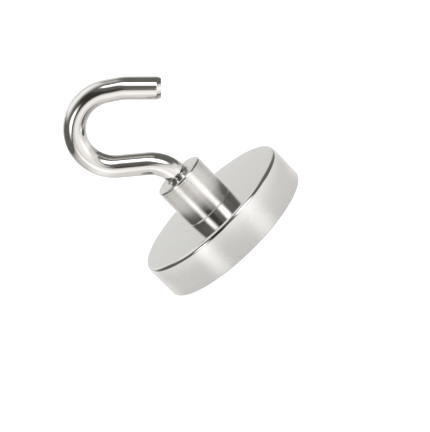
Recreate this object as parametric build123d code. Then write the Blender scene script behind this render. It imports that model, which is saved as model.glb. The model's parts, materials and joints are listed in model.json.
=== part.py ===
from build123d import *
import os
from math import radians, tan

# Hook magnet: a steel pot magnet that stands on its magnetic face, with a turned neck and a wire hook that
# screws into it. Millimetres. The origin is the centre of the contact face, +Z points up along the pot's
# axis, and the hook's wire lies in the XZ plane, with its open end towards +X.

# ---- driving dimensions ----
pot_diameter = 42.0
pot_height = 9.4
neck_diameter = 13.0
neck_height = 11.0          # above the pot's top face
wire_diameter = 5.6
thread_pitch = 1.0          # M6 coarse, right-handed

# ---- steel cup ----
cup_wall = 2.7
cup_floor = 3.4             # the thick top plate that the neck is riveted into
cup_rim_radius = 1.0        # rounding round the top face
cup_lip_radius = 0.4        # rounding round the open edge
spigot_diameter = 8.0
rivet_flare = 0.8           # how far the riveted end of the spigot spreads into its countersink

# ---- magnet and what bonds it ----
magnet_recess = 0.1         # the magnet's face sits this far inside the cup's edge
magnet_gap = 0.8            # between the magnet and the cup's skirt, filled with epoxy
magnet_edge_radius = 0.3
film_thickness = 0.15
epoxy_sink = 0.15           # the potting has shrunk this far below the magnet's face

# ---- M6 thread ----
thread_crest_radius = 2.97
thread_root_radius = 2.387
bore_crest_radius = 2.525   # the internal thread's smallest radius
bore_root_radius = 3.07
thread_nominal_radius = 3.0
thread_flank_angle = 30.0
crest_width = 0.125         # the ridge's flat at the nominal radius
flank_play = 0.05           # taken off each flank of the hook's ridge and added to each flank of the groove
thread_overlap = 0.05       # how far a ridge or a groove's bar reaches past the surface that it meets
helix_depth_turns = 11      # both helices start this many turns below the mouth
bore_turns = 12
hook_turns = 9.75           # the ridge ends below the plain wire

# ---- neck ----
mouth_diameter = 6.7        # countersink at the mouth of the bore
bore_depth = 11.9           # from the mouth to the flat bottom
neck_edge_radius = 0.6
neck_foot = 0.2             # small flare where the neck meets the pot

# ---- hook ----
lead_bend_radius = 9.0      # centreline radius of the bend that leaves the neck
lead_bend_angle = 52.0
web_length = 7.0            # straight wire between the two bends
bow_radius = 9.4            # centreline radius of the round bow
bow_angle = 174.0
shoulder_length = 3.0       # straight wire where the bow ends
tail_bend_angle = 11.0      # the last slight bend, of the bow's radius
tail_length = 8.3           # straight wire up to the open end
tip_taper_length = 1.1
tip_taper_depth = 0.35
thread_engagement = 10.0    # threaded length below the mouth
wire_seat_depth = 0.4       # the wire has its plain diameter from this far below the mouth
pilot_diameter = 4.0
pilot_length = 1.3
pilot_chamfer = 0.3

# ---- thread-locking ring ----
lock_ring_length = 1.0
lock_ring_rise = 0.15       # above the pilot's end
lock_ring_play = 0.03       # radial, round the pilot
lock_ring_diameter = 4.94

# ---- values worked out from those above ----
pot_radius = pot_diameter / 2
neck_radius = neck_diameter / 2
wire_radius = wire_diameter / 2
spigot_radius = spigot_diameter / 2
mouth_radius = mouth_diameter / 2
cavity_radius = pot_radius - cup_wall
cavity_height = pot_height - cup_floor
magnet_radius = cavity_radius - magnet_gap
magnet_top = cavity_height - film_thickness
mouth_level = pot_height + neck_height
wire_start = mouth_level - wire_seat_depth
thread_end = mouth_level - thread_engagement
pilot_radius = pilot_diameter / 2
pilot_end = thread_end - pilot_length
lock_ring_radius = lock_ring_diameter / 2
helix_start = mouth_level - helix_depth_turns * thread_pitch
edge_tolerance = 0.01       # for finding an edge by its radius or its level


def turned(points):
    """The solid that a closed outline of (radius, height) points makes when it is turned about the Z axis."""
    outline = Polyline([(radius, 0, height) for radius, height in points], close=True)
    return revolve(make_face(outline), Axis.Z)


def flat_ring(inner_radius, outer_radius, low, high):
    """A plain ring with a rectangular section."""
    return turned([(inner_radius, low), (outer_radius, low), (outer_radius, high), (inner_radius, high)])


def ridge_width(radius, play):
    """The axial width of the thread's 60 degree ridge at a radius, with play added to each flank."""
    return crest_width + 2 * tan(radians(thread_flank_angle)) * (thread_nominal_radius - radius) + 2 * play


def helical_bar(inner_radius, outer_radius, play, turns):
    """A right-handed helical bar with a trapezoid section, for a thread's ridge or a bore's groove."""
    path = Helix(thread_pitch, turns * thread_pitch, inner_radius, center=(0, 0, helix_start))
    inner_half = ridge_width(inner_radius, play) / 2
    outer_half = ridge_width(outer_radius, play) / 2
    section = Polyline(
        (inner_radius, 0, helix_start - inner_half),
        (outer_radius, 0, helix_start - outer_half),
        (outer_radius, 0, helix_start + outer_half),
        (inner_radius, 0, helix_start + inner_half),
        close=True,
    )
    return sweep(make_face(section), path=path, is_frenet=True)


def circles(body):
    """The round edges of a body."""
    return body.edges().filter_by(GeomType.CIRCLE)


def steel_cup():
    """The pressed pot, open downwards, with a countersunk hole for the neck's riveted spigot."""
    body = turned(
        [
            (spigot_radius, pot_height),
            (pot_radius, pot_height),
            (pot_radius, 0),
            (cavity_radius, 0),
            (cavity_radius, cavity_height),
            (spigot_radius + rivet_flare, cavity_height),
            (spigot_radius, cavity_height + rivet_flare),
        ]
    )
    rims = circles(body).filter_by(lambda edge: abs(edge.radius - pot_radius) < edge_tolerance)
    body = fillet(rims.sort_by(Axis.Z)[-1], cup_rim_radius)
    lips = circles(body).filter_by(lambda edge: edge.center().Z < edge_tolerance)
    return fillet(lips, cup_lip_radius)


def disc_magnet():
    """The neodymium disc, with its rounded edges."""
    body = Pos(0, 0, magnet_recess) * Cylinder(
        magnet_radius, magnet_top - magnet_recess, align=(Align.CENTER, Align.CENTER, Align.MIN)
    )
    return fillet(circles(body), magnet_edge_radius)


def adhesive_film():
    """The glue line between the magnet's back and the cup's floor."""
    return Pos(0, 0, magnet_top) * Cylinder(
        magnet_radius, film_thickness, align=(Align.CENTER, Align.CENTER, Align.MIN)
    )


def epoxy_ring():
    """The potting between the magnet and the cup's skirt."""
    return flat_ring(magnet_radius, cavity_radius, magnet_recess + epoxy_sink, cavity_height)


def threaded_neck():
    """The turned bush: a cylinder with a countersunk M6 bore, and a spigot riveted over inside the cup."""
    bore_floor = mouth_level - bore_depth
    countersink_depth = mouth_radius - bore_crest_radius
    body = turned(
        [
            (0, cavity_height),
            (spigot_radius + rivet_flare, cavity_height),
            (spigot_radius, cavity_height + rivet_flare),
            (spigot_radius, pot_height),
            (neck_radius + neck_foot, pot_height),
            (neck_radius, pot_height + neck_foot),
            (neck_radius, mouth_level),
            (mouth_radius, mouth_level),
            (bore_crest_radius, mouth_level - countersink_depth),
            (bore_crest_radius, bore_floor),
            (0, bore_floor),
        ]
    )
    rims = circles(body).filter_by(lambda edge: edge.radius > neck_radius - edge_tolerance)
    body = fillet(rims.sort_by(Axis.Z)[-1], neck_edge_radius)
    return body - helical_bar(bore_crest_radius - thread_overlap, bore_root_radius, flank_play, bore_turns)


def bent_wire():
    """The round wire above the neck: the lead bend, the web, the bow and the tail with its tapered end."""
    with BuildLine(Plane.XZ) as path:
        lead = JernArc((0, mouth_level), (0, 1), lead_bend_radius, lead_bend_angle)
        web = Line(lead @ 1, lead @ 1 + (lead % 1) * web_length)
        bow = JernArc(web @ 1, web % 1, bow_radius, -bow_angle)
        shoulder = Line(bow @ 1, bow @ 1 + (bow % 1) * shoulder_length)
        tail_bend = JernArc(shoulder @ 1, shoulder % 1, bow_radius, -tail_bend_angle)
        Line(tail_bend @ 1, tail_bend @ 1 + (tail_bend % 1) * (tail_length - tip_taper_length))
    centreline = path.wires()[0]
    wire = sweep(Plane(centreline @ 0, z_dir=centreline % 0) * Circle(wire_radius), path=centreline)
    tip_radius = wire_radius - tip_taper_depth
    tip = Cone(wire_radius, tip_radius, tip_taper_length, align=(Align.CENTER, Align.CENTER, Align.MIN))
    return wire + Plane(centreline @ 1, z_dir=centreline % 1) * tip


def threaded_shank():
    """The hook's straight end: the pilot, the thread and the plain wire in the countersink."""
    core = turned(
        [
            (0, pilot_end),
            (pilot_radius - pilot_chamfer, pilot_end),
            (pilot_radius, pilot_end + pilot_chamfer),
            (pilot_radius, thread_end),
            (thread_root_radius, thread_end + thread_root_radius - pilot_radius),
            (thread_root_radius, wire_start - wire_radius + thread_root_radius),
            (wire_radius, wire_start),
            (wire_radius, mouth_level),
            (0, mouth_level),
        ]
    )
    ridge = helical_bar(thread_root_radius - thread_overlap, thread_crest_radius, -flank_play, hook_turns)
    outside = thread_crest_radius + thread_overlap
    end_chamfer = turned(
        [
            (0, thread_end),
            (pilot_radius, thread_end),
            (outside, thread_end + outside - pilot_radius),
            (outside, mouth_level),
            (0, mouth_level),
        ]
    )
    return core + (ridge & end_chamfer)


def hook():
    """The hook: one piece of bent wire, threaded at one end and tapered at the other."""
    return threaded_shank() + bent_wire()


def thread_lock_ring():
    """The cured thread-locking compound round the hook's pilot."""
    low = pilot_end + lock_ring_rise
    return flat_ring(pilot_radius + lock_ring_play, lock_ring_radius, low, low + lock_ring_length)


parts = {
    "steel_cup": steel_cup,
    "disc_magnet": disc_magnet,
    "adhesive_film": adhesive_film,
    "epoxy_ring": epoxy_ring,
    "threaded_neck": threaded_neck,
    "hook": hook,
    "thread_lock_ring": thread_lock_ring,
}

os.makedirs("parts", exist_ok=True)
for name, make in parts.items():
    export_step(make(), f"parts/{name}.step")
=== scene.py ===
import json
from collections import namedtuple
from math import cos, floor, pi, radians, sin, tan

import bmesh
import bpy
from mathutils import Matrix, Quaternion, Vector


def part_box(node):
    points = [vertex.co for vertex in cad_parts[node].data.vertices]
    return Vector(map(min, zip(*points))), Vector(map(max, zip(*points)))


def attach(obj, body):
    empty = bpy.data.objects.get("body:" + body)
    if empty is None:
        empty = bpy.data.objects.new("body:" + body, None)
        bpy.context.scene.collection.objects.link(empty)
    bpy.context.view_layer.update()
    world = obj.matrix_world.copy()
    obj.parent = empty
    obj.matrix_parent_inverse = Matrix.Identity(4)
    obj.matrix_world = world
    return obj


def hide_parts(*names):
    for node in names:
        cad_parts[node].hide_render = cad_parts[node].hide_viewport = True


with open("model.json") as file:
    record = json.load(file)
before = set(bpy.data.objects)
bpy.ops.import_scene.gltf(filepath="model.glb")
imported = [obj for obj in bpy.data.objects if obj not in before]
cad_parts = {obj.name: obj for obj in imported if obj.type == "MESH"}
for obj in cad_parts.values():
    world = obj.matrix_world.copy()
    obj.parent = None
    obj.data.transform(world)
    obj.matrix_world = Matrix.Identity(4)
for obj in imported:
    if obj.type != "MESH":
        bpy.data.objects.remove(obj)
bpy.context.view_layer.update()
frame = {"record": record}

# A hook magnet: a steel pot magnet with a turned neck and a screw-in wire hook.
# Outlines are in millimetres, as (radius, height) or along the wire, and become metres where a mesh is made.
MM = 0.001


def box_corners(node_name):
    """The low and the high corner of a CAD node's box."""
    return [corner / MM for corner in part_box(node_name)]


# ---- sizes read from the frame ----
cup_low, cup_high = box_corners("steel_cup")
neck_low, neck_high = box_corners("threaded_neck")
magnet_low, magnet_high = box_corners("disc_magnet")
film_low, film_high = box_corners("adhesive_film")
epoxy_low, epoxy_high = box_corners("epoxy_ring")
lock_low, lock_high = box_corners("thread_lock_ring")
hook_low, hook_high = box_corners("hook")

pot_base = cup_low.z
pot_radius = cup_high.x
pot_height = cup_high.z
cavity_radius = epoxy_high.x
cavity_height = neck_low.z
mouth_level = neck_high.z
magnet_radius = magnet_high.x
thread_crest_radius = hook_high.y
pilot_end = hook_low.z
thread_pitch = 2 * pi * frame["record"]["behaviour"]["couplings"][0]["ratio"] / MM

# ---- the cup and what it holds ----
cup_rim_rounding = 1.0
cup_lip_rounding = 0.4
spigot_radius = 4.0
rivet_flare = 0.8
magnet_edge_rounding = 0.3
epoxy_hollow = 0.1          # how far the shrunk potting dips between its two edges
film_rounding = 0.45 * (film_high.z - film_low.z)

# ---- the neck ----
mouth_radius = 3.35
bore_floor = mouth_level - 11.9
neck_edge_rounding = 0.6
neck_foot = 0.2             # small flare where the neck meets the pot
neck_radius = neck_high.x - neck_foot

# ---- the thread ----
thread_root_radius = 2.387
bore_crest_radius = 2.525
bore_root_radius = 3.07
thread_nominal_radius = 3.0
thread_flank_slope = tan(radians(30.0))
crest_width = 0.125
flank_play = 0.05           # taken off each flank of the hook's ridge and added to each flank of the groove
helix_depth_turns = 11      # the helix starts this many turns below the mouth
helix_start = mouth_level - helix_depth_turns * thread_pitch
thread_end = mouth_level - 10.0
pilot_radius = 2.0
pilot_chamfer = 0.3
runout_start = mouth_level - 0.5    # the thread fades into the plain wire between these two places
runout_end = mouth_level + 1.1
lock_play = 0.03            # between the pilot and the compound round it
lock_rounding = 0.15

# ---- the bent wire ----
wire_radius = 2.8
lead_bend_radius = 9.0
lead_bend_angle = radians(52.0)
web_length = 7.0
bow_radius = 9.4
bow_angle = radians(174.0)
shoulder_length = 3.0       # straight wire where the bow ends
tail_bend_angle = radians(11.0)
tail_length = 8.3
tip_taper_length = 1.1
tip_taper_depth = 0.35
tip_shoulder_rounding = 0.6
tip_edge_rounding = 0.12

# ---- mesh density ----
COLUMNS = 128               # faces round a turned piece or the wire
ROUNDING_STEPS = 6
HOLLOW_STEPS = 8
BEND_STEP = radians(2.0)    # between two rings of vertices in a bend
STRAIGHT_STEP = 0.5         # between two rings of vertices on straight wire
SHARP_ANGLE = radians(35.0)
MERGE_DISTANCE = 1e-8       # metres
LENGTH_TOLERANCE = 1e-9
# Rows of vertices over half a turn of the thread, as shares of the pitch from the middle of a ridge: on the
# crest, down the flank and on the root.
THREAD_ROWS = (0.0, 0.055, 0.11, 0.2, 0.3, 0.37, 0.44)


# ---- mesh building ----

def rounded(corners):
    """An outline of (radius, height) points, from corners of (radius, height, rounding)."""
    points = []
    for index, (radius, height, rounding) in enumerate(corners):
        corner = Vector((radius, height))
        if rounding == 0:
            points.append(corner)
            continue
        back = (Vector(corners[index - 1][:2]) - corner).normalized()
        ahead = (Vector(corners[(index + 1) % len(corners)][:2]) - corner).normalized()
        half_angle = back.angle(ahead) / 2
        centre = corner + (back + ahead).normalized() * rounding / sin(half_angle)
        first = (corner + back * rounding / tan(half_angle) - centre).normalized()
        last = (corner + ahead * rounding / tan(half_angle) - centre).normalized()
        for step in range(ROUNDING_STEPS + 1):
            points.append(centre + first.slerp(last, step / ROUNDING_STEPS) * rounding)
    return points


def add_skin(shape, place, rows, shift=0):
    """Adds a sheet of faces that wraps round an axis. place(row, column) gives a vertex's place in
    millimetres. Where the sheet closes on itself, a row joins the row that is shift rows further on."""
    columns = range(COLUMNS)
    grid = [[shape.verts.new(place(row, column) * MM) for column in columns] for row in range(rows)]
    for row in range(rows - 1):
        for column in columns:
            following = (column + 1) % COLUMNS
            step = shift if following == 0 else 0
            if row + 1 + step < rows:
                shape.faces.new(
                    (
                        grid[row][column],
                        grid[row + step][following],
                        grid[row + 1 + step][following],
                        grid[row + 1][column],
                    )
                )


def column_angle(column):
    return 2 * pi * column / COLUMNS


def add_turned(shape, outline):
    """Adds the surface that an outline of (radius, height) points makes when it is turned about Z."""
    def place(row, column):
        radius, height = outline[row]
        angle = column_angle(column)
        return Vector((radius * cos(angle), radius * sin(angle), height))

    add_skin(shape, place, len(outline))


def thread_offsets():
    """Heights of one turn's rows of vertices, measured from the middle of the ridge."""
    half_turn = [share * thread_pitch for share in THREAD_ROWS]
    return half_turn + [thread_pitch - height for height in reversed(half_turn[1:])]


def add_threaded(shape, surface, low, high):
    """Adds a threaded surface between two levels. surface(level, angle) gives a point. The rows follow the
    helix, and where they would pass the low or the high level they collapse onto it."""
    offsets = thread_offsets()
    turns_before = 2
    turns_after = 3
    first_turn = floor((low - helix_start) / thread_pitch) - turns_before
    turns = turns_before + int((high - low) / thread_pitch) + turns_after
    first_level = helix_start + first_turn * thread_pitch
    rows = [first_level + turn * thread_pitch + offset for turn in range(turns) for offset in offsets]

    def place(row, column):
        angle = column_angle(column)
        level = rows[row] + thread_pitch * angle / (2 * pi)
        return surface(min(max(level, low), high), angle)

    add_skin(shape, place, len(rows), shift=len(offsets))


def thread_radius(level, angle, play, root, crest):
    """The radius of a 60 degree thread's ridges at a level and an angle round the axis."""
    turns = (level - helix_start) / thread_pitch - angle / (2 * pi)
    from_ridge = abs(turns - round(turns)) * thread_pitch
    radius = thread_nominal_radius - (from_ridge - crest_width / 2 - play) / thread_flank_slope
    return min(max(radius, root), crest)


def finish_mesh(name, shape, body, material, replaced):
    """Turns a bmesh into a piece that rides on a body and stands for a CAD node."""
    bmesh.ops.remove_doubles(shape, verts=shape.verts, dist=MERGE_DISTANCE)
    bmesh.ops.recalc_face_normals(shape, faces=shape.faces)
    mesh = bpy.data.meshes.new(name)
    shape.to_mesh(mesh)
    shape.free()
    mesh.materials.append(material)
    mesh.shade_smooth()
    mesh.set_sharp_from_angle(angle=SHARP_ANGLE)
    piece = bpy.data.objects.new(name, mesh)
    bpy.context.scene.collection.objects.link(piece)
    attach(piece, body)
    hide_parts(replaced)
    return piece


# ---- the pieces ----

def cup_shell(material):
    """The pressed steel pot, open downwards, with a countersunk hole for the neck's rivet."""
    shape = bmesh.new()
    corners = [
        (spigot_radius, pot_height, 0),
        (pot_radius, pot_height, cup_rim_rounding),
        (pot_radius, pot_base, cup_lip_rounding),
        (cavity_radius, pot_base, cup_lip_rounding),
        (cavity_radius, cavity_height, 0),
        (spigot_radius + rivet_flare, cavity_height, 0),
        (spigot_radius, cavity_height + rivet_flare, 0),
    ]
    outline = rounded(corners)
    add_turned(shape, outline + [outline[0]])
    return finish_mesh("cup_shell", shape, "base", material, "steel_cup")


def bore_point(level, angle):
    """A point on the neck's threaded bore, with the countersink that cuts into the thread at the mouth."""
    countersink = mouth_radius - (mouth_level - level)
    groove = thread_radius(level, angle, flank_play, bore_crest_radius, bore_root_radius)
    radius = max(groove, countersink)
    return Vector((radius * cos(angle), radius * sin(angle), level))


def neck_bush(material):
    """The turned neck: a cylinder with a threaded bore, and a spigot riveted over inside the cup."""
    shape = bmesh.new()
    corners = [
        (0, cavity_height, 0),
        (spigot_radius + rivet_flare, cavity_height, 0),
        (spigot_radius, cavity_height + rivet_flare, 0),
        (spigot_radius, pot_height, 0),
        (neck_radius + neck_foot, pot_height, 0),
        (neck_radius, pot_height + neck_foot, 0),
        (neck_radius, mouth_level, neck_edge_rounding),
        (mouth_radius, mouth_level, 0),
    ]
    add_turned(shape, rounded(corners))
    add_threaded(shape, bore_point, bore_floor, mouth_level)

    def floor_place(row, column):
        rim = bore_point(bore_floor, column_angle(column))
        return rim if row == 0 else Vector((0, 0, bore_floor))

    add_skin(shape, floor_place, 2)
    return finish_mesh("neck_bush", shape, "base", material, "threaded_neck")


def magnet_disc(material):
    """The neodymium disc."""
    shape = bmesh.new()
    corners = [
        (0, magnet_low.z, 0),
        (magnet_radius, magnet_low.z, magnet_edge_rounding),
        (magnet_radius, magnet_high.z, magnet_edge_rounding),
        (0, magnet_high.z, 0),
    ]
    add_turned(shape, rounded(corners))
    return finish_mesh("magnet_disc", shape, "base", material, "disc_magnet")


def epoxy_fill(material):
    """The potting between magnet and cup, which has shrunk to a hollow between its two edges."""
    shape = bmesh.new()
    outline = []
    for step in range(HOLLOW_STEPS + 1):
        share = step / HOLLOW_STEPS
        radius = magnet_radius + (cavity_radius - magnet_radius) * share
        outline.append((radius, epoxy_low.z + epoxy_hollow * 4 * share * (1 - share)))
    outline += [(cavity_radius, epoxy_high.z), (magnet_radius, epoxy_high.z), outline[0]]
    add_turned(shape, outline)
    return finish_mesh("epoxy_fill", shape, "base", material, "epoxy_ring")


def glue_film(material):
    """The thin glue line between the magnet's back and the cup's floor, with a round edge."""
    shape = bmesh.new()
    corners = [
        (0, film_low.z, 0),
        (film_high.x, film_low.z, film_rounding),
        (film_high.x, film_high.z, film_rounding),
        (0, film_high.z, 0),
    ]
    add_turned(shape, rounded(corners))
    return finish_mesh("glue_film", shape, "base", material, "adhesive_film")


def lock_compound(material):
    """The cured thread-locking compound round the hook's pilot."""
    shape = bmesh.new()
    inner_radius = pilot_radius + lock_play
    corners = [
        (inner_radius, lock_low.z, lock_rounding),
        (lock_high.x, lock_low.z, lock_rounding),
        (lock_high.x, lock_high.z, lock_rounding),
        (inner_radius, lock_high.z, lock_rounding),
    ]
    outline = rounded(corners)
    add_turned(shape, outline + [outline[0]])
    return finish_mesh("lock_compound", shape, "lock_ring", material, "thread_lock_ring")


def wire_frame(along):
    """The wire's centre and its direction in the XZ plane, at a length along it. Up to the neck's mouth, the
    length is the height. A stretch is (bend radius, angle) or (None, straight length)."""
    place = Vector((0.0, mouth_level))
    heading = pi / 2
    left = along - mouth_level
    stretches = [
        (lead_bend_radius, lead_bend_angle),
        (None, web_length),
        (bow_radius, -bow_angle),
        (None, shoulder_length),
        (bow_radius, -tail_bend_angle),
        (None, tail_length),
    ]
    if left <= 0:
        return Vector((0.0, along)), heading
    for radius, size in stretches:
        if radius is None:
            used = min(left, size)
            place = place + Vector((cos(heading), sin(heading))) * used
        else:
            used = min(left, radius * abs(size))
            side = 1 if size > 0 else -1
            centre = place + side * radius * Vector((-sin(heading), cos(heading)))
            heading += side * used / radius
            place = centre - side * radius * Vector((-sin(heading), cos(heading)))
        left -= used
        if left <= LENGTH_TOLERANCE:
            break
    return place, heading


def wire_point(along, angle, radius):
    """A point at a radius round the wire's centreline. At angle 0 it is on the shank's +X side."""
    place, heading = wire_frame(along)
    outward = Vector((sin(heading), -cos(heading)))
    x = place.x + radius * cos(angle) * outward.x
    z = place.y + radius * cos(angle) * outward.y
    return Vector((x, radius * sin(angle), z))


def shank_radius(along, angle):
    """The radius of the threaded shank, with its chamfered start and its run-out into the plain wire."""
    thread = thread_radius(along, angle, -flank_play, thread_root_radius, thread_crest_radius)
    chamfer = pilot_radius + (along - thread_end)
    share = min(max((along - runout_start) / (runout_end - runout_start), 0), 1)
    fade = share * share * (3 - 2 * share)
    return min(thread, chamfer) * (1 - fade) + wire_radius * fade


def wire_lengths():
    """Where the rings of vertices are along the wire above the thread, and where the wire ends."""
    lead_end = mouth_level + lead_bend_radius * lead_bend_angle
    web_end = lead_end + web_length
    bow_end = web_end + bow_radius * bow_angle
    shoulder_end = bow_end + shoulder_length
    tail_start = shoulder_end + bow_radius * tail_bend_angle
    tip = tail_start + tail_length
    lengths = []
    for start, end, spacing in [
        (runout_end, lead_end, lead_bend_radius * BEND_STEP),
        (lead_end, web_end, STRAIGHT_STEP),
        (web_end, bow_end, bow_radius * BEND_STEP),
        (bow_end, shoulder_end, STRAIGHT_STEP),
        (shoulder_end, tail_start, bow_radius * BEND_STEP),
        (tail_start, tip - tip_taper_length, STRAIGHT_STEP),
    ]:
        count = round((end - start) / spacing)
        lengths += [start + (end - start) * step / count for step in range(count)]
    return lengths, tip


def shank_point(along, angle):
    """A point on the threaded shank."""
    return wire_point(along, angle, shank_radius(along, angle))


def hook_wire(material):
    """The bent wire with its thread, its fading run-out and its tapered end."""
    shape = bmesh.new()
    pilot = [
        (0, pilot_end),
        (pilot_radius - pilot_chamfer, pilot_end),
        (pilot_radius, pilot_end + pilot_chamfer),
        (pilot_radius, thread_end),
    ]
    add_turned(shape, pilot)
    add_threaded(shape, shank_point, thread_end, runout_end)
    lengths, tip = wire_lengths()
    tip_radius = wire_radius - tip_taper_depth
    ends = rounded(
        [
            (wire_radius, tip - 2 * tip_taper_length, 0),
            (wire_radius, tip - tip_taper_length, tip_shoulder_rounding),
            (tip_radius, tip, tip_edge_rounding),
            (0, tip, 0),
        ]
    )[1:]
    rings = [(wire_radius, along) for along in lengths if along < ends[0].y] + ends

    def place(row, column):
        radius, along = rings[row]
        return wire_point(along, column_angle(column), radius)

    add_skin(shape, place, len(rings))
    return finish_mesh("hook_wire", shape, "hook", material, "hook")


# ---- materials ----

# Most noise lies between these two values.
NOISE_LOW = 0.25
NOISE_HIGH = 0.75


def node(tree, kind, inputs=None, **settings):
    """Adds a node, changes its settings, and fills its inputs with values or with other nodes' outputs."""
    made = tree.nodes.new(kind)
    for name, value in settings.items():
        setattr(made, name, value)
    for name, value in (inputs or {}).items():
        if isinstance(value, bpy.types.NodeSocket):
            tree.links.new(value, made.inputs[name])
        else:
            made.inputs[name].default_value = value
    return made


def new_material(name):
    """A material with one Principled shader. Gives the material, its tree, the shader and coordinates."""
    material = bpy.data.materials.new(name)
    material.use_nodes = True
    tree = material.node_tree
    tree.nodes.clear()
    shader = node(tree, "ShaderNodeBsdfPrincipled")
    node(tree, "ShaderNodeOutputMaterial", {"Surface": shader.outputs["BSDF"]})
    coordinates = node(tree, "ShaderNodeTexCoord").outputs["Object"]
    return material, tree, shader, coordinates


def noise(tree, coordinates, stretch, detail=3.0):
    """Noise over coordinates that are stretched to a number of features per metre along each axis."""
    scaled = node(tree, "ShaderNodeVectorMath", {0: coordinates, 1: stretch}, operation="MULTIPLY")
    inputs = {"Vector": scaled.outputs[0], "Scale": 1.0, "Detail": detail}
    return node(tree, "ShaderNodeTexNoise", inputs).outputs["Fac"]


def ramp(tree, value, start, end):
    """A value that runs straight from one (input, output) place to another, and stays level outside them."""
    inputs = {"Value": value, "From Min": start[0], "From Max": end[0], "To Min": start[1], "To Max": end[1]}
    return node(tree, "ShaderNodeMapRange", inputs).outputs["Result"]


def from_noise(tree, cloud, low, high):
    """A value between low and high, by noise."""
    return ramp(tree, cloud, (NOISE_LOW, low), (NOISE_HIGH, high))


def blend_values(tree, share, low, high):
    """A value between two others, each a number or a node's output."""
    return node(tree, "ShaderNodeMix", {"Factor": share, 2: low, 3: high}, data_type="FLOAT").outputs[0]


def blend_colours(tree, share, low, high):
    """A colour between two others, each three numbers or a node's output."""
    ends = [colour if isinstance(colour, bpy.types.NodeSocket) else (*colour, 1) for colour in (low, high)]
    inputs = {"Factor": share, 6: ends[0], 7: ends[1]}
    return node(tree, "ShaderNodeMix", inputs, data_type="RGBA").outputs[2]


def bump(tree, height, distance, strength=1.0, normal=None):
    """A bump normal from a height, at a depth in metres."""
    inputs = {"Height": height, "Distance": distance, "Strength": strength}
    if normal is not None:
        inputs["Normal"] = normal
    return node(tree, "ShaderNodeBump", inputs).outputs["Normal"]


def metal(tree, shader, tint, roughness, normal=None):
    """Makes a shader a metal with a tint, a roughness and perhaps a bump."""
    tree.links.new(tint, shader.inputs["Base Color"])
    tree.links.new(roughness, shader.inputs["Roughness"])
    shader.inputs["Metallic"].default_value = 1.0
    if normal is not None:
        tree.links.new(normal, shader.inputs["Normal"])


def polished_nickel():
    """The hook's wire."""
    material, tree, shader, coordinates = new_material("polished_nickel")
    cloud = noise(tree, coordinates, (120, 120, 120))
    tint = blend_colours(tree, cloud, (0.65, 0.64, 0.62), (0.70, 0.69, 0.67))
    metal(tree, shader, tint, from_noise(tree, cloud, 0.07, 0.12))
    return material


def cup_nickel():
    """The cup: its top face is polished and its side is satin."""
    material, tree, shader, coordinates = new_material("cup_nickel")
    cloud = noise(tree, coordinates, (90, 90, 90))
    tint = blend_colours(tree, cloud, (0.62, 0.617, 0.605), (0.66, 0.657, 0.645))
    facing = node(tree, "ShaderNodeNewGeometry").outputs["Normal"]
    upward = node(tree, "ShaderNodeSeparateXYZ", {"Vector": facing}).outputs["Z"]
    side = ramp(tree, upward, (0.03, 1.0), (0.15, 0.0))
    mirror = from_noise(tree, cloud, 0.05, 0.08)
    satin = from_noise(tree, cloud, 0.24, 0.3)
    roughness = blend_values(tree, side, mirror, satin)
    grain = noise(tree, coordinates, (2200, 2200, 2200), detail=2.0)
    metal(tree, shader, tint, roughness, bump(tree, grain, 0.000008, strength=side))
    return material


def turned_nickel():
    """The neck, with fine turning marks round it."""
    material, tree, shader, coordinates = new_material("turned_nickel")
    cloud = noise(tree, coordinates, (150, 150, 150))
    tint = blend_colours(tree, cloud, (0.64, 0.63, 0.61), (0.69, 0.685, 0.665))
    marks = noise(tree, coordinates, (60, 60, 6000), detail=2.0)
    bands = noise(tree, coordinates, (40, 40, 3000), detail=1.0)
    normal = bump(tree, marks, 0.00001, normal=bump(tree, bands, 0.000015))
    metal(tree, shader, tint, from_noise(tree, cloud, 0.18, 0.21), normal)
    shader.inputs["Anisotropic"].default_value = 0.98
    tangent = node(tree, "ShaderNodeTangent", direction_type="RADIAL", axis="Z").outputs["Tangent"]
    tree.links.new(tangent, shader.inputs["Tangent"])
    shader.inputs["Anisotropic Rotation"].default_value = 0.25
    return material


def magnet_nickel():
    """The magnet's plating."""
    material, tree, shader, coordinates = new_material("magnet_nickel")
    cloud = noise(tree, coordinates, (200, 200, 200))
    tint = blend_colours(tree, cloud, (0.56, 0.55, 0.53), (0.62, 0.61, 0.59))
    metal(tree, shader, tint, from_noise(tree, cloud, 0.16, 0.28))
    return material


def resin(name, colours, roughness, features, depth):
    """A cured resin: two close colours, a cloudy shine and a slightly uneven surface, with a number of
    features per metre and a depth in metres."""
    material, tree, shader, coordinates = new_material(name)
    cloud = noise(tree, coordinates, (features, features, features))
    tree.links.new(blend_colours(tree, cloud, *colours), shader.inputs["Base Color"])
    tree.links.new(from_noise(tree, cloud, *roughness), shader.inputs["Roughness"])
    tree.links.new(bump(tree, cloud, depth), shader.inputs["Normal"])
    return material


def cast_epoxy():
    """The black potting round the magnet."""
    return resin(
        "cast_epoxy",
        colours=((0.012, 0.012, 0.014), (0.03, 0.03, 0.033)),
        roughness=(0.18, 0.35),
        features=600,
        depth=0.00003,
    )


def cured_glue():
    """The yellowish adhesive behind the magnet."""
    return resin(
        "cured_glue",
        colours=((0.5, 0.43, 0.26), (0.66, 0.58, 0.38)),
        roughness=(0.4, 0.6),
        features=500,
        depth=0.00002,
    )


def cured_thread_lock():
    """The blue thread-locking compound."""
    return resin(
        "cured_thread_lock",
        colours=((0.02, 0.08, 0.35), (0.05, 0.16, 0.5)),
        roughness=(0.35, 0.55),
        features=900,
        depth=0.00002,
    )


# ---- studio ----

CAMERA_AZIMUTH = 11.0
CAMERA_ELEVATION = 13.55
CAMERA_DISTANCE = 450.0
CAMERA_ROLL = 44.55
CAMERA_LENS = 155.7
AIM_LEVEL = 20.0
AIM_RIGHT = -0.56
AIM_UP = -13.0

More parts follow.
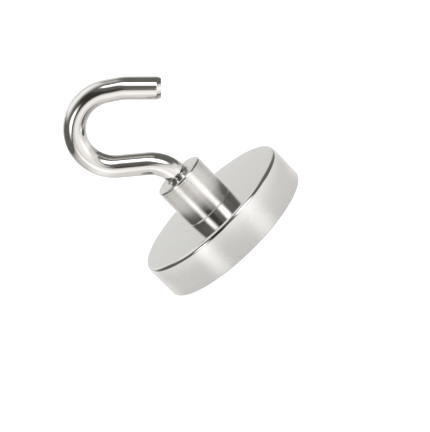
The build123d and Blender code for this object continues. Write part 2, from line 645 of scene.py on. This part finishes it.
# The table's painted glow, as the metal sees it, which paints reflections on the metal: close to the object,
# in a ring and a lane further out, and the shares that are left far away and behind the object. The camera
# sees an even glow instead.
TABLE_SIZE = 3.0                    # metres from its middle to its edge
TABLE_COLOUR = (0.4, 0.4, 0.4, 1)
TABLE_ROUGHNESS = 0.2
TABLE_GLOW = 0.65
TABLE_GLOW_RING = 0.98
TABLE_FAR_SHARE = 0.5
TABLE_BACK_SHARE = 0.6
TABLE_GLOW_SEEN = 0.9
# Painted warm tint of the glow that the metal reflects.
TABLE_TINT = (1, 0.972, 0.957)
TABLE_TINT_SEEN = (1, 1, 1)

# Soft panels on the tent, in the order of painting. Angles are in degrees, and azimuths start at the camera.
Panel = namedtuple("Panel", "azimuth elevation half_width half_height side_softness end_softness radiance")
TENT_DARK = (0.16, 0.156, 0.145)
TENT_PANELS = {
    "back_wall": Panel(174, 0, 2, 40, 60, 30, (0.89, 0.885, 0.87)),
    "dark_left": Panel(-110, 0, 20, 34, 20, 18, TENT_DARK),
    "dark_right": Panel(112, 24, 16, 22, 30, 16, (0.18, 0.18, 0.17)),
    "darkest": Panel(-20, 24, 9, 24, 14, 20, (0.05, 0.042, 0.035)),
    "sweep": Panel(40, 0, 36, 4, 14, 6, (1.0, 0.99, 0.97)),
    "left_softbox": Panel(-45, 19, 0, 2, 19, 13, (4.2, 4.2, 4.2)),
    "right_softbox": Panel(36, 34, 0, 12, 23, 16, (4.8, 4.8, 4.8)),
}
CEILING_AZIMUTH = -165
CEILING_ELEVATION = 50
CEILING_RADIUS = 30
CEILING_SOFTNESS = 38
CEILING_RADIANCE = (1.3, 1.3, 1.3)


def direction(azimuth, elevation):
    """From the object towards an azimuth, counted as for the camera, and an elevation, both in degrees."""
    a = radians(azimuth)
    e = radians(elevation)
    return Vector((sin(a) * cos(e), -cos(a) * cos(e), sin(e)))


def arithmetic(tree, operation, *values):
    """The result of a math node."""
    return node(tree, "ShaderNodeMath", dict(enumerate(values)), operation=operation).outputs[0]


def along_axis(tree, vector, axis):
    """How far a vector reaches along an axis."""
    return node(tree, "ShaderNodeVectorMath", {0: vector, 1: axis}, operation="DOT_PRODUCT").outputs["Value"]


def fade_out(tree, value, full, none):
    """1 where a value is at most full, 0 where it is at least none, and smooth in between."""
    inputs = {"Value": value, "From Min": full, "From Max": none, "To Min": 1.0, "To Max": 0.0}
    return node(tree, "ShaderNodeMapRange", inputs, interpolation_type="SMOOTHSTEP").outputs["Result"]


def camera_ray(tree):
    """1 where the camera looks straight at something, 0 where it is seen in a reflection."""
    return node(tree, "ShaderNodeLightPath").outputs["Is Camera Ray"]


def painted_table_glow(tree, coordinates):
    """The table's painted glow as the metal sees it, which paints reflections on the metal. The places are
    in metres from the object's axis.
    """
    away = node(tree, "ShaderNodeVectorMath", {0: coordinates}, operation="LENGTH").outputs["Value"]
    forward = along_axis(tree, coordinates, direction(CAMERA_AZIMUTH, 0))
    sideways = along_axis(tree, coordinates, direction(CAMERA_AZIMUTH + 90, 0))
    sideways = arithmetic(tree, "ABSOLUTE", sideways)
    # Painted glow for the metal: dimmer close to the object and brighter in a ring further out.
    glow = ramp(tree, away, (0.04, TABLE_GLOW), (0.06, TABLE_GLOW_RING))
    shares = [
        ramp(tree, sideways, (0.07, 1.0), (0.12, TABLE_GLOW / TABLE_GLOW_RING)),
        ramp(tree, away, (0.2, 1.0), (0.8, TABLE_FAR_SHARE)),
        ramp(tree, forward, (-0.05, TABLE_BACK_SHARE), (0.0, 1.0)),
    ]
    for share in shares:
        glow = arithmetic(tree, "MULTIPLY", glow, share)
    return glow


def table():
    """A white acrylic table. It glows though it is no lamp, so that it stays pale far from the object; the
    metal sees a painted glow that paints reflections on it.
    """
    material, tree, shader, coordinates = new_material("white_table")
    shader.inputs["Base Color"].default_value = TABLE_COLOUR
    shader.inputs["Roughness"].default_value = TABLE_ROUGHNESS
    seen = camera_ray(tree)
    # Painted glow: even where the camera looks, shaped where the metal reflects the table.
    glow = blend_values(tree, seen, painted_table_glow(tree, coordinates), TABLE_GLOW_SEEN)
    tree.links.new(glow, shader.inputs["Emission Strength"])
    tree.links.new(blend_colours(tree, seen, TABLE_TINT, TABLE_TINT_SEEN), shader.inputs["Emission Color"])
    corners = [(x * TABLE_SIZE, y * TABLE_SIZE, 0) for x, y in ((-1, -1), (1, -1), (1, 1), (-1, 1))]
    mesh = bpy.data.meshes.new("table")
    mesh.from_pydata(corners, [], [(0, 1, 2, 3)])
    mesh.materials.append(material)
    made = bpy.data.objects.new("table", mesh)
    bpy.context.scene.collection.objects.link(made)


def panel_share(tree, azimuth, elevation, panel):
    """How much of a panel is seen in a direction: 1 on it, 0 well off it."""
    sideways = arithmetic(tree, "SUBTRACT", azimuth, CAMERA_AZIMUTH + panel.azimuth)
    sideways = arithmetic(tree, "ABSOLUTE", arithmetic(tree, "WRAP", sideways, 180.0, -180.0))
    upward = arithmetic(tree, "ABSOLUTE", arithmetic(tree, "SUBTRACT", elevation, float(panel.elevation)))
    return arithmetic(
        tree,
        "MULTIPLY",
        fade_out(tree, sideways, panel.half_width, panel.half_width + panel.side_softness),
        fade_out(tree, upward, panel.half_height, panel.half_height + panel.end_softness),
    )


def ceiling_share(tree, towards):
    """How much of the ceiling is seen in a direction."""
    axis = direction(CAMERA_AZIMUTH + CEILING_AZIMUTH, CEILING_ELEVATION)
    off_axis = arithmetic(tree, "DEGREES", arithmetic(tree, "ARCCOSINE", along_axis(tree, towards, axis)))
    return fade_out(tree, off_axis, CEILING_RADIUS, CEILING_RADIUS + CEILING_SOFTNESS)


def tent():
    """The surroundings that the metal reflects: bright behind and above, dark round the camera, a bright
    sweep low on the right and two softboxes. The camera sees them as plain white."""
    world = bpy.data.worlds.new("tent")
    world.use_nodes = True
    tree = world.node_tree
    tree.nodes.clear()
    towards = node(tree, "ShaderNodeTexCoord").outputs["Generated"]
    axes = node(tree, "ShaderNodeSeparateXYZ", {"Vector": towards}).outputs
    elevation = arithmetic(tree, "DEGREES", arithmetic(tree, "ARCSINE", axes["Z"]))
    backward = arithmetic(tree, "MULTIPLY", axes["Y"], -1.0)
    azimuth = arithmetic(tree, "DEGREES", arithmetic(tree, "ARCTAN2", axes["X"], backward))
    radiance = blend_colours(tree, ceiling_share(tree, towards), TENT_DARK, CEILING_RADIANCE)
    for panel in TENT_PANELS.values():
        share = panel_share(tree, azimuth, elevation, panel)
        radiance = blend_colours(tree, share, radiance, panel.radiance)
    colour = blend_colours(tree, camera_ray(tree), radiance, (1, 1, 1))
    background = node(tree, "ShaderNodeBackground", {"Color": colour})
    node(tree, "ShaderNodeOutputWorld", {"Surface": background.outputs[0]})
    bpy.context.scene.world = world


def camera():
    """The camera, at the viewing angle of the object's picture, in which the object leans to the left."""
    data = bpy.data.cameras.new("camera")
    data.lens = CAMERA_LENS
    made = bpy.data.objects.new("camera", data)
    bpy.context.scene.collection.objects.link(made)
    back = direction(CAMERA_AZIMUTH, CAMERA_ELEVATION)
    right = direction(CAMERA_AZIMUTH + 90, 0)
    up = direction(CAMERA_AZIMUTH + 180, 90 - CAMERA_ELEVATION)
    centre = Vector((0, 0, AIM_LEVEL))
    place = (centre + back * CAMERA_DISTANCE) * MM
    aim = (centre + right * AIM_RIGHT + up * AIM_UP) * MM
    level = (aim - place).to_track_quat("-Z", "Y")
    made.rotation_mode = "QUATERNION"
    made.location = place
    made.rotation_quaternion = level @ Quaternion((0, 0, 1), -radians(CAMERA_ROLL))
    bpy.context.scene.camera = made


cup_shell(cup_nickel())
neck_bush(turned_nickel())
hook_wire(polished_nickel())
magnet_disc(magnet_nickel())
epoxy_fill(cast_epoxy())
glue_film(cured_glue())
lock_compound(cured_thread_lock())
table()
tent()
camera()
bpy.context.scene.view_settings.view_transform = "Standard"
